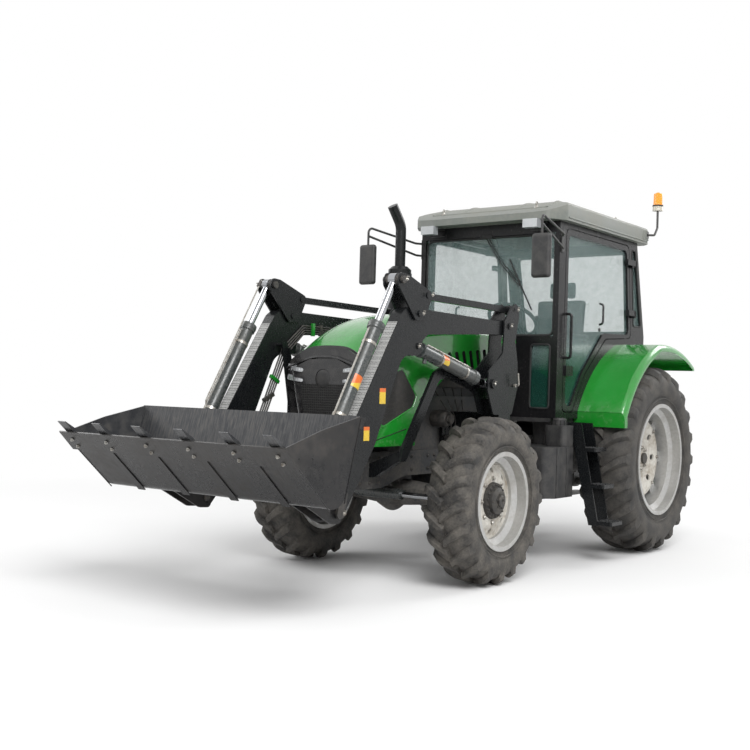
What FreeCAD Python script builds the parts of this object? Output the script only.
"""Four wheel drive cab tractor with a self levelling front loader and a toothed bucket.

Lengths are millimetres. While a piece is drawn, x runs forward from the rear axle, y to the
tractor's left and z up from the ground. export_all moves the whole machine along x, so that
the saved origin lies on the ground below the middle of its overall length.
"""
import FreeCAD, Part
import math
import os

os.makedirs("parts", exist_ok=True)

V = FreeCAD.Vector
AXIS_X, AXIS_Y, AXIS_Z = V(1, 0, 0), V(0, 1, 0), V(0, 0, 1)

# Running gaps
RUN = 0.3            # between a moving face and what carries it
SIDE = 6.0           # between flat plates that swing past each other

# Wheels and axles
WHEELBASE = 2314.0
REAR_TYRE_R, REAR_TYRE_W, REAR_RIM_R = 763.0, 430.0, 457.0
FRONT_TYRE_R, FRONT_TYRE_W, FRONT_RIM_R = 558.0, 315.0, 330.0
REAR_TRACK, FRONT_TRACK = 840.0, 754.0       # half of each track width
RIM_THICK = 8.0
KINGPIN_Y, KINGPIN_R = 560.0, 24.0
REAR_FLANGE_Y, FRONT_FLANGE_Y = 600.0, 700.0  # where a wheel's hub meets its carrier
AXLE_R_REAR, AXLE_R_FRONT = 110.0, 78.0

# Backbone
BACK_X, CLUTCH_X, ENGINE_X, RADIATOR_X, FRAME_END_X = -270.0, 1290.0, 2480.0, 2960.0, 3060.0
BLOCK_HALF, RAIL_HALF, RAIL_T = 190.0, 215.0, 25.0
STEER_ARM = 176.0        # of the knuckle's arm, ahead of its kingpin
AXLE_SEAT_Z = 698.0      # where the axle's saddle meets the front support

CASTING_Z = 480.0        # underside of the rear casting

# Bonnet
HOOD_REAR_X, HOOD_FRONT_X = 1300.0, 3090.0
HOOD_HALF_REAR, HOOD_HALF_FRONT = 380.0, 344.0
HOOD_TOP_REAR, HOOD_TOP_FRONT, HOOD_SKIRT_Z = 1838.0, 1560.0, 908.0
HOOD_DROP_POWER = 5      # how late the bonnet's top falls toward the nose
HOOD_STATIONS = 9
HOOD_T = 5.0
NOSE_X = 3150.0
VENT_COUNT = 6
STEP_X = 800.0

# Cab
CAB_HALF, CAB_FRONT_X, PANEL = 640.0, 1120.0, 40.0
CAB_FLOOR_Z, CAB_SILL_Z, CAB_HEAD_Z = 1090.0, 1132.0, 2590.0
CAB_REAR_TOP_X, CAB_REAR_BOTTOM_X, REAR_SILL_Z = -330.0, -520.0, 1800.0
DOOR_REAR_TOP_X, DOOR_REAR_X, DOOR_FRONT_X = -150.0, -235.0, 1010.0
GLASS_T = 6.0
DOOR_GAP = 8.0
HINGE_HEIGHTS = (1990.0, 2420.0)
HINGE_X, HINGE_Y = -255.0, 664.0
HINGE_PIN_R, HINGE_KNUCKLE_R = 7.0, 14.0
DOOR_SWING_GAP = 20.0    # kept between the opening door and the mudguard
CAB_MOUNT_Y, CAB_PAD_Z, FRONT_MOUNT_X, FRONT_MOUNT_Z = 420.0, 940.0, 930.0, 880.0
ROOF_HALF, ROOF_FRONT_X, ROOF_REAR_X = 690.0, 1275.0, -500.0
ROOF_EAVE_Z, ROOF_TOP_Z = 2610.0, 2830.0

# Mudguards
GUARD_IN, GUARD_OUT, GUARD_T = 604.0, 1040.0, 6.0
GUARD_FOOT = (742.0, 1147.0)
GUARD_SHOULDER = (477.0, 1471.0)
GUARD_TOP = (46.0, 1706.0)
GUARD_BACK = (-345.0, 1690.0)
GUARD_TAIL = (-701.0, 1571.0)

# Loader frame and arms; x and z of each pivot with the arms as parked
LOADER_Y, ARM_W, LEVER_T, MAST_T = 532.0, 84.0, 12.0, 12.0
BEAM_LOW_Z = 1010.0
BRACE_FOOT_X = 2850.0
BRACE_FOOT_W = 56.0
PROP_GAP = 52.0
FLAG_W, FLAG_L, FLAG_T = 70.0, 120.0, 16.0
PIVOT = (1780.0, 1755.0)
KNEE = (2919.0, 1766.0)
LINK_OFFSET = (-90.0, 124.0)     # from an arm pivot to the link pivot, on mast and lever alike
LEVER_TOP_OFFSET = (200.0, 199.0)
LIFT_EYE = (2900.0, 1560.0)
LIFT_FOOT = (1990.0, 1337.0)
TILT_ANGLE = -59.0               # of the tilt cylinder, degrees from level
BUCKET_PIVOT = (3700.0, 560.0)
BUCKET_EYE_Z = 850.0
CROSS_TUBE, CROSS_TUBE_R = (3530.0, 880.0), 55.0
PIN_R, BIG_PIN_R = 20.0, 24.0
LIFT_BARREL_R, LIFT_ROD_R = 45.0, 24.0
LIFT_BARREL_L, LIFT_ROD_L = 780.0, 730.0
TILT_BARREL_R, TILT_ROD_R = 44.0, 25.0
TILT_ROD_SHOWN, TILT_ROD_L = 331.0, 760.0
CYLINDER_EYE_W = 52.0
PIPE_R, PIPE_PITCH, PIPE_COUNT = 6.0, 22.0, 4

# Bucket: back edge, heel and lip of its side view
BUCKET_BACK, BUCKET_HEEL, BUCKET_LIP = (3875.0, 1128.0), (4037.0, 542.0), (4508.0, 967.0)
BUCKET_HALF, BUCKET_T, BUCKET_SIDE_T, HEEL_R = 880.0, 8.0, 10.0, 110.0
EDGE_HALF, EDGE_T, EDGE_DEPTH = 900.0, 16.0, 140.0
TOOTH_COUNT, TOOTH_W, TOOTH_REACH, TOOTH_T = 6, 70.0, 90.0, 24.0

# Linkage at the rear
LINK_Y, LINK_FOOT, LINK_ROD_X, LINK_END = 240.0, (-150.0, 520.0), -560.0, (-950.0, 500.0)
LIFT_SHAFT, LIFT_SHAFT_R = (-230.0, 900.0), 30.0
LINK_ROD_Z = 525.0
BALL_BORE_R, BALL_W = 14.35, 45.0
TOP_BORE_R, TOP_BALL_W = 12.85, 51.0
DRAWBAR_HOLE_R, DRAWBAR_T = 16.5, 32.0
PTO_R, PTO_L, PTO_Z = 17.5, 76.0, 640.0


# ---------------------------------------------------------------- drawing helpers

def box(x0, x1, y0, y1, z0, z1):
    return Part.makeBox(x1 - x0, y1 - y0, z1 - z0, V(x0, y0, z0))


def rod(start, end, radius, end_radius=None):
    """Round bar between two points, or a taper when a second radius is given."""
    start, end = V(*start), V(*end)
    axis = end - start
    if end_radius is None:
        return Part.makeCylinder(radius, axis.Length, start, axis)
    return Part.makeCone(radius, end_radius, axis.Length, start, axis)


def tube(start, end, radius, bore):
    return rod(start, end, radius).cut(rod(start, end, bore))


def cross_rod(point, y0, y1, radius):
    """Round bar across the tractor through the (x, z) point."""
    return rod((point[0], y0, point[1]), (point[0], y1, point[1]), radius)


def mirrored(shape):
    return shape.mirror(V(0, 0, 0), AXIS_Y)


def both_sides(shape):
    return Part.makeCompound(shape.Solids + mirrored(shape).Solids)


def joined(first, *others):
    return first.fuse(list(others)).removeSplitter()


def corner_arc(before, corner, after, radius):
    """Tangent points and middle of the arc that rounds one corner."""
    to_before, to_after = (before - corner).normalize(), (after - corner).normalize()
    half = to_before.getAngle(to_after) / 2
    reach = radius / math.tan(half)
    bisector = (to_before + to_after).normalize()
    centre = corner + bisector * (radius / math.sin(half))
    return corner + to_before * reach, centre - bisector * radius, corner + to_after * reach


def rounded_wire(points, radii):
    """Closed wire through 3D points with rounded corners; radii is a number or one a corner."""
    count = len(points)
    if not isinstance(radii, (list, tuple)):
        radii = [radii] * count
    edges, ends = [], []
    for i, point in enumerate(points):
        if radii[i] <= 0:
            ends.append((point, point))
            continue
        first, middle, last = corner_arc(points[i - 1], point, points[(i + 1) % count], radii[i])
        edges.append(Part.Arc(first, middle, last).toShape())
        ends.append((first, last))
    for i in range(count):
        start, end = ends[i][1], ends[(i + 1) % count][0]
        if (end - start).Length > 1e-6:
            edges.append(Part.LineSegment(start, end).toShape())
    return Part.Wire(Part.__sortEdges__(edges))


def side_plate(outline, y0, y1, radii=0):
    """Plate with an (x, z) outline between two y values."""
    wire = rounded_wire([V(x, y0, z) for x, z in outline], radii)
    return Part.Face(wire).extrude(V(0, y1 - y0, 0))


def front_plate(outline, x0, x1, radii=0):
    """Plate with a (y, z) outline between two x values."""
    wire = rounded_wire([V(x0, y, z) for y, z in outline], radii)
    return Part.Face(wire).extrude(V(x1 - x0, 0, 0))


def flat_plate(outline, z0, z1, radii=0):
    """Plate with an (x, y) outline between two z values."""
    wire = rounded_wire([V(x, y, z0) for x, y in outline], radii)
    return Part.Face(wire).extrude(V(0, 0, z1 - z0))


def bent_path(points, bend):
    """Open wire of straight runs joined by arcs of one radius."""
    points = [V(*p) for p in points]
    edges, last = [], points[0]
    for i in range(1, len(points) - 1):
        first, middle, end = corner_arc(points[i - 1], points[i], points[i + 1], bend)
        edges.append(Part.LineSegment(last, first).toShape())
        edges.append(Part.Arc(first, middle, end).toShape())
        last = end
    edges.append(Part.LineSegment(last, points[-1]).toShape())
    return Part.Wire(edges)


def bent_rod(points, radius, bend):
    path = bent_path(points, bend)
    start = V(*points[0])
    circle = Part.makeCircle(radius, start, V(*points[1]) - start)
    return path.makePipeShell([Part.Wire(circle)], True, True)


def turned(profile, centre):
    """Solid of revolution about the line across the tractor through centre (x, z).

    The profile is a list of (y, r) corners.
    """
    x, z = centre
    wire = Part.makePolygon([V(x, y, z + r) for y, r in profile + profile[:1]])
    return Part.Face(wire).revolve(V(x, 0, z), AXIS_Y, 360)


def along(start, angle, distance, offset=0.0):
    """(x, z) point at a distance along a direction in degrees, then offset to its left."""
    a = math.radians(angle)
    x = start[0] + distance * math.cos(a) - offset * math.sin(a)
    z = start[1] + distance * math.sin(a) + offset * math.cos(a)
    return (x, z)


def shifted(point, offset):
    return (point[0] + offset[0], point[1] + offset[1])


LEVER_TOP = shifted(KNEE, LEVER_TOP_OFFSET)
LEVER_REAR = shifted(KNEE, LINK_OFFSET)
MAST_TOP = shifted(PIVOT, LINK_OFFSET)
BUCKET_EYE = along(LEVER_TOP, TILT_ANGLE,
                   (BUCKET_EYE_Z - LEVER_TOP[1]) / math.sin(math.radians(TILT_ANGLE)))
TILT_LENGTH = math.hypot(BUCKET_EYE[0] - LEVER_TOP[0], BUCKET_EYE[1] - LEVER_TOP[1])
LIFT_ANGLE = math.degrees(math.atan2(LIFT_EYE[1] - LIFT_FOOT[1], LIFT_EYE[0] - LIFT_FOOT[0]))


# ---------------------------------------------------------------- wheels and axles

def tyre(centre, track, radius, width, rim_radius):
    """Tyre as a ring with round shoulders and bulging walls; its height includes the lugs."""
    x, z = centre
    half = width / 2
    seat = rim_radius - 22
    bead = half - 22
    shoulder = radius * 0.935
    bulge = (rim_radius + radius) / 2
    points = [(-bead, seat), (-bead, rim_radius + 1), (-half, bulge), (-half + 26, shoulder),
              (-half + 92, radius)]
    walls = points + [(-y, r) for y, r in reversed(points)]
    at = [V(x, track + y, z + r) for y, r in walls]
    lines = [Part.Arc(at[1], at[2], at[3]).toShape(), Part.Arc(at[6], at[7], at[8]).toShape()]
    for i, j in ((0, 1), (3, 4), (4, 5), (5, 6), (8, 9), (9, 0)):
        lines.append(Part.LineSegment(at[i], at[j]).toShape())
    return Part.Face(Part.Wire(Part.__sortEdges__(lines))).revolve(V(x, 0, z), AXIS_Y, 360)


def rim_barrel(centre, track, width, rim_radius):
    """Drop centre rim: a flange on each side, bead seats and a well."""
    half = width / 2 - 22
    seat = rim_radius - 22
    well = seat - 40
    t = RIM_THICK
    outer = [(-half - 8, rim_radius), (-half, rim_radius), (-half, seat), (-half + 60, seat),
             (-half + 85, well), (half - 85, well), (half - 60, seat), (half, seat),
             (half, rim_radius), (half + 8, rim_radius)]
    inner = [(half + 8, seat - t), (half - 63, seat - t), (half - 88, well - t),
             (-half + 88, well - t), (-half + 63, seat - t), (-half - 8, seat - t)]
    return turned([(track + y, r) for y, r in outer + inner], centre), well - t


def round_pattern(shape, centre, count):
    """The shape repeated about the line across the tractor through centre."""
    copies = []
    for i in range(count):
        copy = shape.copy()
        copy.rotate(V(centre[0], 0, centre[1]), AXIS_Y, 360.0 * i / count)
        copies.append(copy)
    return copies


def front_wheel_rim():
    """Rim, dished disc and the planetary hub that turns with it."""
    centre = (WHEELBASE, FRONT_TYRE_R)
    barrel, inside = rim_barrel(centre, FRONT_TRACK, FRONT_TYRE_W, FRONT_RIM_R)
    disc_y = FRONT_TRACK + 42
    disc = [(disc_y, 0), (disc_y + 12, 0), (disc_y + 12, 168), (disc_y - 16, 235),
            (disc_y - 16, inside + 1), (disc_y - 28, inside + 1), (disc_y - 28, 231),
            (disc_y, 162)]
    hub = [(FRONT_FLANGE_Y + RUN, 0), (disc_y + 74, 0), (disc_y + 74, 62), (disc_y + 60, 88),
           (disc_y + 36, 92), (disc_y + 34, 118), (disc_y + 12, 122), (disc_y, 122),
           (disc_y, 118), (FRONT_FLANGE_Y + RUN, 118)]
    rim = joined(barrel, turned(disc, centre), turned(hub, centre))
    slot = cross_rod((centre[0], centre[1] + 203), disc_y - 40, disc_y + 20, 17)
    return rim.cut(Part.makeCompound(round_pattern(slot, centre, 8)))


def rear_wheel_rim():
    """Rim on lugs, deep dished disc and the axle's hub flange."""
    centre = (0.0, REAR_TYRE_R)
    barrel, inside = rim_barrel(centre, REAR_TRACK, REAR_TYRE_W, REAR_RIM_R)
    disc_y = REAR_TRACK - 8
    disc = [(disc_y, 0), (disc_y + 14, 0), (disc_y + 14, 190), (disc_y + 44, 290),
            (disc_y + 44, 318), (disc_y + 30, 318), (disc_y + 30, 292), (disc_y, 195)]
    hub = [(REAR_FLANGE_Y + RUN, 0), (disc_y + 70, 0), (disc_y + 70, 44), (disc_y + 36, 48),
           (disc_y + 34, 120), (disc_y + 14, 124), (disc_y, 124), (disc_y - 26, 120),
           (disc_y - 60, 62), (REAR_FLANGE_Y + RUN, 62)]
    lug = box(-45, 45, disc_y + 14, disc_y + 30, centre[1] + 290, centre[1] + inside + 4)
    rim = joined(barrel, turned(disc, centre), turned(hub, centre))
    rim = rim.fuse(round_pattern(lug, centre, 8)).removeSplitter()
    window = cross_rod((0, centre[1] + 240), disc_y - 10, disc_y + 60, 26)
    return rim.cut(Part.makeCompound(round_pattern(window, centre, 8)))


def rear_axle():
    """Tapered axle housings bolted to the sides of the rear casting."""
    centre = (0.0, REAR_TYRE_R)
    profile = [(BLOCK_HALF, 0), (BLOCK_HALF, 190), (BLOCK_HALF + 28, 190),
               (BLOCK_HALF + 30, 158), (BLOCK_HALF + 180, AXLE_R_REAR + 16),
               (REAR_FLANGE_Y - 70, AXLE_R_REAR), (REAR_FLANGE_Y - 26, AXLE_R_REAR),
               (REAR_FLANGE_Y - 24, AXLE_R_REAR + 26), (REAR_FLANGE_Y, AXLE_R_REAR + 26),
               (REAR_FLANGE_Y, 0)]
    pad = box(-75, 75, CAB_MOUNT_Y - 70, CAB_MOUNT_Y + 70, REAR_TYRE_R + 60, CAB_PAD_Z)
    return both_sides(joined(turned(profile, centre), pad))


def front_axle():
    """Cast beam with an offset differential and a fork for each kingpin."""
    x, z = WHEELBASE, FRONT_TYRE_R
    fork_in = KINGPIN_Y - 84
    half = [(0, 100), (150, 88), (fork_in - 60, AXLE_R_FRONT - 14), (fork_in, AXLE_R_FRONT)]
    beam = turned([(fork_in, 0), (-fork_in, 0)] + [(-y, r) for y, r in reversed(half)]
                  + half[1:], (x, z))
    bowl = rod((x - 120, 0, z), (x + 30, 0, z), 90, 136)
    bowl = bowl.fuse(rod((x + 30, 0, z), (x + 130, 0, z), 136, 92))
    nose = rod((x - 250, 0, z), (x - 118, 0, z), 52, 84)
    saddle = box(x - 70, x + 70, -96, 96, z + 20, AXLE_SEAT_Z)
    fork = side_plate([(x - 62, z - 150), (x + 62, z - 150), (x + 62, z + 150),
                       (x - 62, z + 150)], fork_in - 18, KINGPIN_Y + 30, 22)
    gap = box(x - 90, x + 90, fork_in + 12, KINGPIN_Y + 60, z - 112 - RUN, z + 112 + RUN)
    pin_hole = rod((x, KINGPIN_Y, z - 160), (x, KINGPIN_Y, z + 160), KINGPIN_R + RUN)
    fork = fork.cut(gap).cut(pin_hole)
    return joined(beam, bowl, nose, saddle, fork, mirrored(fork))


def front_knuckle():
    """Steering knuckle with its kingpins, steering arm and wheel spindle."""
    x, z = WHEELBASE, FRONT_TYRE_R
    body = rod((x, KINGPIN_Y, z - 112), (x, KINGPIN_Y, z + 112), 58)
    pins = rod((x, KINGPIN_Y, z - 149), (x, KINGPIN_Y, z + 149), KINGPIN_R)
    spindle = [(KINGPIN_Y, 0), (KINGPIN_Y, 78), (KINGPIN_Y + 60, 92), (FRONT_FLANGE_Y - 30, 128),
               (FRONT_FLANGE_Y, 128), (FRONT_FLANGE_Y, 0)]
    drum = turned(spindle, (x, z))
    reach = x + STEER_ARM + 20
    arm = side_plate([(reach, z - 22), (x + 40, z - 44), (x + 40, z + 44), (reach, z + 22)],
                     KINGPIN_Y - 28, KINGPIN_Y + 8, 12)
    return joined(body, pins, drum, arm)


def steering_cylinder():
    """Double ended steering cylinder on the front of the axle beam."""
    x, z = WHEELBASE + STEER_ARM, FRONT_TYRE_R
    barrel = tube((x, -190, z), (x, 190, z), 38, 19 + RUN)
    feet = [box(WHEELBASE + 90, x - 20, y - 14, y + 14, z - 20, z + 20) for y in (-150, 150)]
    return barrel.fuse(feet).removeSplitter()


def steering_rod():
    """Piston rod with a ball end near each knuckle's arm."""
    x, z = WHEELBASE + STEER_ARM, FRONT_TYRE_R
    bar = rod((x, -470, z), (x, 470, z), 19)
    ends = [rod((x, y - 26, z), (x, y + 26, z), 27) for y in (-480, 480)]
    return joined(bar, *ends)


# ---------------------------------------------------------------- backbone

def gearbox_housing():
    """Rear axle casting, gearbox and clutch housing, with stiffening ribs."""
    h = BLOCK_HALF
    body = side_plate([(BACK_X, CASTING_Z), (330, CASTING_Z), (760, 560), (CLUTCH_X - 40, 560),
                       (CLUTCH_X, 500), (CLUTCH_X, 1010), (CLUTCH_X - 60, 1010),
                       (CLUTCH_X - 120, 940), (520, 930), (360, 1020), (BACK_X, 1020)],
                      -h, h, [40, 40, 40, 20, 10, 10, 20, 30, 60, 60, 40])
    waist = [side_plate([(430, 590), (1120, 590), (1120, 900), (430, 900)], y0, y1, 40)
             for y0, y1 in ((-h - 1, -h + 34), (h - 34, h + 1))]
    body = body.cut(waist[0]).cut(waist[1])
    ribs = []
    for x in (600, 780, 960):
        ribs.append(box(x, x + 20, -h + 4, h - 4, 585, 905))
    cover = box(-200, 300, -150, 150, 1020, 1052)
    pto_boss = rod((BACK_X - 36, 0, PTO_Z), (BACK_X + 20, 0, PTO_Z), 62)
    arms = [box(FRONT_MOUNT_X - 60, FRONT_MOUNT_X + 60, y0, y1, FRONT_MOUNT_Z - 40, FRONT_MOUNT_Z)
            for y0, y1 in ((-CAB_MOUNT_Y - 80, -h + 5), (h - 5, CAB_MOUNT_Y + 80))]
    housing = joined(body, *ribs, cover, pto_boss, *arms)
    return housing.cut(cross_rod(LIFT_SHAFT, -h - 1, h + 1, LIFT_SHAFT_R + RUN))


def pto_shaft():
    x = BACK_X - 36
    return rod((x, 0, PTO_Z), (x - PTO_L, 0, PTO_Z), PTO_R)


def engine_block():
    """Engine as one plain mass with its sump and head, and the radiator in front of it."""
    h = BLOCK_HALF
    block = side_plate([(CLUTCH_X, 560), (1420, 520), (2030, 520), (2076, 760), (2380, 760),
                        (2380, 1240), (CLUTCH_X, 1240)], -h, h, [0, 40, 40, 30, 30, 20, 20])
    head = side_plate([(1380, 1240), (2320, 1240), (2320, 1460), (1380, 1460)], -120, 120,
                      [0, 0, 30, 30])
    fan = rod((2380, 0, 1120), (2470, 0, 1120), 60)
    radiator = box(2560, 2680, -290, 290, 860, 1500)
    shroud = rod((2470, 0, 1120), (2560, 0, 1120), 60, 230)
    return joined(block, head, fan, shroud, radiator)


def front_frame():
    """Cast front support: two rails, a cross head and the towing jaw."""
    out, inn = RAIL_HALF, RAIL_HALF - RAIL_T
    rail = side_plate([(2080, 690), (2500, 690), (2760, 620), (FRAME_END_X, 620),
                       (FRAME_END_X, 860), (2080, 860)], inn, out, [20, 60, 60, 10, 20, 20])
    head = box(FRAME_END_X - 50, FRAME_END_X, -inn, inn, 640, 850)
    deck = box(2500, FRAME_END_X - 50, -inn, inn, 838, 860)
    pivot = box(WHEELBASE - 60, WHEELBASE + 60, -inn, inn, AXLE_SEAT_Z, 740)
    bumper = box(FRAME_END_X, FRAME_END_X + 36, -255, 255, 660, 830)
    jaw_top = box(FRAME_END_X + 36, FRAME_END_X + 120, -60, 60, 770, 794)
    jaw_low = box(FRAME_END_X + 36, FRAME_END_X + 120, -60, 60, 690, 714)
    hole = rod((FRAME_END_X + 84, 0, 600), (FRAME_END_X + 84, 0, 900), 16)
    jaw = jaw_top.fuse(jaw_low).cut(hole)
    return joined(rail, mirrored(rail), head, deck, pivot, bumper, jaw)


def exhaust():
    """Upright silencer beside the cab's right front post, with a raked outlet."""
    x, y = 1520.0, -575.0
    elbow = bent_rod([(x - 120, -BLOCK_HALF, 1180), (x - 120, -430, 1180), (x, y, 1330),
                      (x, y, 1700)], 40, 60)
    can = rod((x, y, 1690), (x, y, 2235), 92)
    shoulders = [rod((x, y, 2235), (x, y, 2262), 92, 62), rod((x, y, 1664), (x, y, 1690), 62, 92)]
    stack = bent_rod([(x, y, 2262), (x, y, 2590), (x + 90, y - 24, 2740)], 42, 160)
    clamp = tube((x, y, 2180), (x, y, 2206), 97, 91)
    post = 20 - CAB_HALF
    stay = rod((CAB_FRONT_X + 6, post, 2100), (x - 80, y, 2100), 12)
    foot = box(CAB_FRONT_X, CAB_FRONT_X + 8, post - 18, post + 18, 2070, 2130)
    return joined(elbow, can, *shoulders, stack, clamp, stay, foot)


# ---------------------------------------------------------------- bonnet

def hood_section(x, half, top):
    """Closed section of the bonnet at x: upright sides, round shoulders and a crowned top."""
    low = HOOD_SKIRT_Z
    left = [V(x, half, low), V(x, half, top - 120), V(x, half * 0.5, top - 14)]
    right = [V(p.x, -p.y, p.z) for p in reversed(left)]
    return rounded_wire(left + [V(x, 0, top)] + right, [0, 70, 240, 1400, 240, 70, 0])


def hood_form():
    """Bonnet form without its wall."""
    stations = []
    span = HOOD_FRONT_X - HOOD_REAR_X
    for i in range(HOOD_STATIONS):
        share = i / (HOOD_STATIONS - 1)
        half = HOOD_HALF_REAR + (HOOD_HALF_FRONT - HOOD_HALF_REAR) * share ** 2
        top = HOOD_TOP_REAR + (HOOD_TOP_FRONT - HOOD_TOP_REAR) * share ** HOOD_DROP_POWER
        stations.append(hood_section(HOOD_REAR_X + span * share, half, top))
    return Part.makeLoft(stations, True, False)


def hood_room(form, wall):
    """The form inside a wall, open below and at both ends."""
    stretch = 0.003
    shape = FreeCAD.Matrix()
    shape.A11 = 1 + stretch
    shape.A14 = -stretch * (HOOD_REAR_X + HOOD_FRONT_X) / 2
    shape.A22 = 1 - wall / HOOD_HALF_REAR
    shape.A34 = -wall
    return form.transformGeometry(shape)


def vent_slots():
    """Slanted slots in the bonnet's sides above the engine."""
    slots = []
    for i in range(VENT_COUNT):
        low = 1700 + i * 92
        slots.append(side_plate([(low, 1400 + i * 16), (low + 44, 1392 + i * 16),
                                 (low + 84, 1584 - i * 8), (low + 40, 1592 - i * 8)],
                                -600, 600, 14))
    return slots


def bonnet():
    """One piece bonnet with deep front skirts, hinged at its rear edge."""
    form = hood_form()
    shell = form.cut(hood_room(form, HOOD_T))
    below = side_plate([(HOOD_REAR_X - 100, HOOD_SKIRT_Z - 100), (2600, HOOD_SKIRT_Z - 100),
                        (2600, 960), (2470, 1230), (2250, 1385), (1690, 1350),
                        (HOOD_REAR_X - 100, 1470)], -600, 600, [0, 0, 60, 160, 160, 80, 0])
    screen = side_plate(SCREEN, -600, 600, 40)
    shell = shell.cut(below).cut(screen)
    for slot in vent_slots():
        shell = shell.cut(slot)
    top = HOOD_TOP_REAR - HOOD_T
    strap = side_plate([(HOOD_REAR_X - 6, HINGE_Z - 6), (HOOD_REAR_X + 30, HINGE_Z - 6),
                        (HOOD_REAR_X + 90, top - 16), (HOOD_REAR_X + 90, top + 1),
                        (HOOD_REAR_X + 40, top + 1)], -20, 20, 0)
    knuckle = cross_rod((HOOD_REAR_X, HINGE_Z), -20, 20, 16)
    strap = joined(strap, knuckle).cut(cross_rod((HOOD_REAR_X, HINGE_Z), -30, 30, 8 + RUN))
    return joined(shell, strap)


SCREEN = [(2755, 1412), (2600, 1240), (2640, 1165), (2950, 1040), (3040, 1110), (3040, 1340)]
HINGE_Z = HOOD_TOP_REAR - 60


def side_screens():
    """Dark mesh panels that fill the openings in the bonnet's front skirts."""
    form = hood_form()
    block = form.common(side_plate(SCREEN, -600, 600, 40))
    return block.common(hood_room(form, 1.5)).cut(hood_room(form, HOOD_T))


def grille_mask():
    """Moulded mask: brow, lamp wings and a shield that narrows downward."""
    x0, x1 = HOOD_FRONT_X, NOSE_X
    top = HOOD_TOP_FRONT - 30
    wings = front_plate([(-336, 1292), (-300, top - 70), (-180, top), (180, top),
                         (300, top - 70), (336, 1292), (230, 1240), (-230, 1240)],
                        x0, x1 - 24, [14, 60, 90, 90, 60, 14, 20, 20])
    shield = front_plate([(-150, 930), (-262, 1400), (-120, 1462), (120, 1462), (262, 1400),
                          (150, 930)], x0, x1, [40, 40, 30, 30, 40, 40])
    cheek = front_plate([(-318, 1246), (-290, 1040), (290, 1040), (318, 1246)], x0, x0 + 26,
                        [20, 30, 30, 20])
    mask = joined(wings, shield, cheek)
    backing = Part.Face(hood_section(x0, HOOD_HALF_FRONT, HOOD_TOP_FRONT)).extrude(V(8, 0, 0))
    mask = mask.fuse(backing).removeSplitter()
    for lamp in lamp_blocks(1.0):
        mask = mask.cut(lamp)
    dish = rod((x1 - 10, 0, 1336), (x1 + 10, 0, 1336), 62)
    return mask.cut(dish)


def lamp_blocks(grow):
    """Two lamps on each side, stacked and slanted with the brow."""
    lamps = []
    for low, high in ((1312, 1362), (1378, 1432)):
        inner = 150 + (low - 1312) * 0.4
        lamp = front_plate([(inner - grow, low - grow), (322 + grow, low + 14 - grow),
                            (314 + grow, high + grow), (176 - grow, high - 22 + grow)],
                           HOOD_FRONT_X + 10, NOSE_X - 18, 8)
        lamps += [lamp, mirrored(lamp)]
    return lamps


def headlights():
    return Part.makeCompound(lamp_blocks(0.0))


# ---------------------------------------------------------------- cab

def guard_arc(inset):
    """Edges of the mudguard's side view, moved inward by inset, from foot to tail."""
    points = []
    for x, z in (GUARD_FOOT, GUARD_SHOULDER, GUARD_TOP, GUARD_BACK, GUARD_TAIL):
        away = V(x, 0, z - REAR_TYRE_R).normalize()
        points.append(V(x, 0, z) - away * inset)
    return [Part.Arc(points[0], points[1], points[2]).toShape(),
            Part.Arc(points[2], points[3], points[4]).toShape()], points


def guard_block(inset, y0, y1):
    """Solid below the mudguard's outline."""
    arcs, points = guard_arc(inset)
    first, last = points[0], points[-1]
    low = V(last.x, 0, REAR_TYRE_R)
    corner = V(first.x, 0, REAR_TYRE_R)
    edges = arcs + [Part.LineSegment(last, low).toShape(), Part.LineSegment(low, corner).toShape(),
                    Part.LineSegment(corner, first).toShape()]
    face = Part.Face(Part.Wire(edges))
    face.translate(V(0, y0, 0))
    return face.extrude(V(0, y1 - y0, 0))


def fender():
    """Mudguard: a band over the tyre, a rolled outer lip and an inner wall down to the floor."""
    outer = guard_block(0, GUARD_IN, GUARD_OUT)
    arch = [e for e in outer.Edges if e.BoundBox.YMin > GUARD_OUT - 1
            and e.BoundBox.ZMax > GUARD_FOOT[1] + 20 and e.BoundBox.XLength > 300
            and e.BoundBox.ZMin > REAR_TYRE_R + 50]
    outer = outer.makeFillet(46, arch)
    inner = guard_block(GUARD_T, GUARD_IN + GUARD_T, GUARD_OUT - GUARD_T)
    arch = [e for e in inner.Edges if e.BoundBox.YMin > GUARD_OUT - GUARD_T - 1
            and e.BoundBox.ZMax > GUARD_FOOT[1] + 20 and e.BoundBox.XLength > 300
            and e.BoundBox.ZMin > REAR_TYRE_R + 50]
    inner = inner.makeFillet(40, arch)
    shell = outer.cut(inner)
    lip = guard_block(58, GUARD_IN + GUARD_T, GUARD_OUT + 1)
    shell = shell.cut(lip)
    low = box(-900, 900, GUARD_IN - 1, GUARD_OUT + 1, 0, CAB_FLOOR_Z - 60)
    shell = shell.cut(low)
    cut_tail = box(-900, CAB_REAR_BOTTOM_X, GUARD_IN - 1, GUARD_OUT + 1, 0, GUARD_TAIL[1] - 60)
    front = box(GUARD_FOOT[0] - 4, 900, GUARD_IN, GUARD_OUT + 1, 0, GUARD_FOOT[1])
    return shell.cut(cut_tail).cut(front)


def cab_side_line(z):
    """x of the cab's raked rear face at height z."""
    share = (z - REAR_SILL_Z) / (CAB_HEAD_Z - REAR_SILL_Z)
    return CAB_REAR_BOTTOM_X + (CAB_REAR_TOP_X - CAB_REAR_BOTTOM_X) * share


def door_rear_line(z):
    share = (z - REAR_SILL_Z) / (CAB_HEAD_Z - REAR_SILL_Z)
    return DOOR_REAR_X + (DOOR_REAR_TOP_X - DOOR_REAR_X) * share


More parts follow.
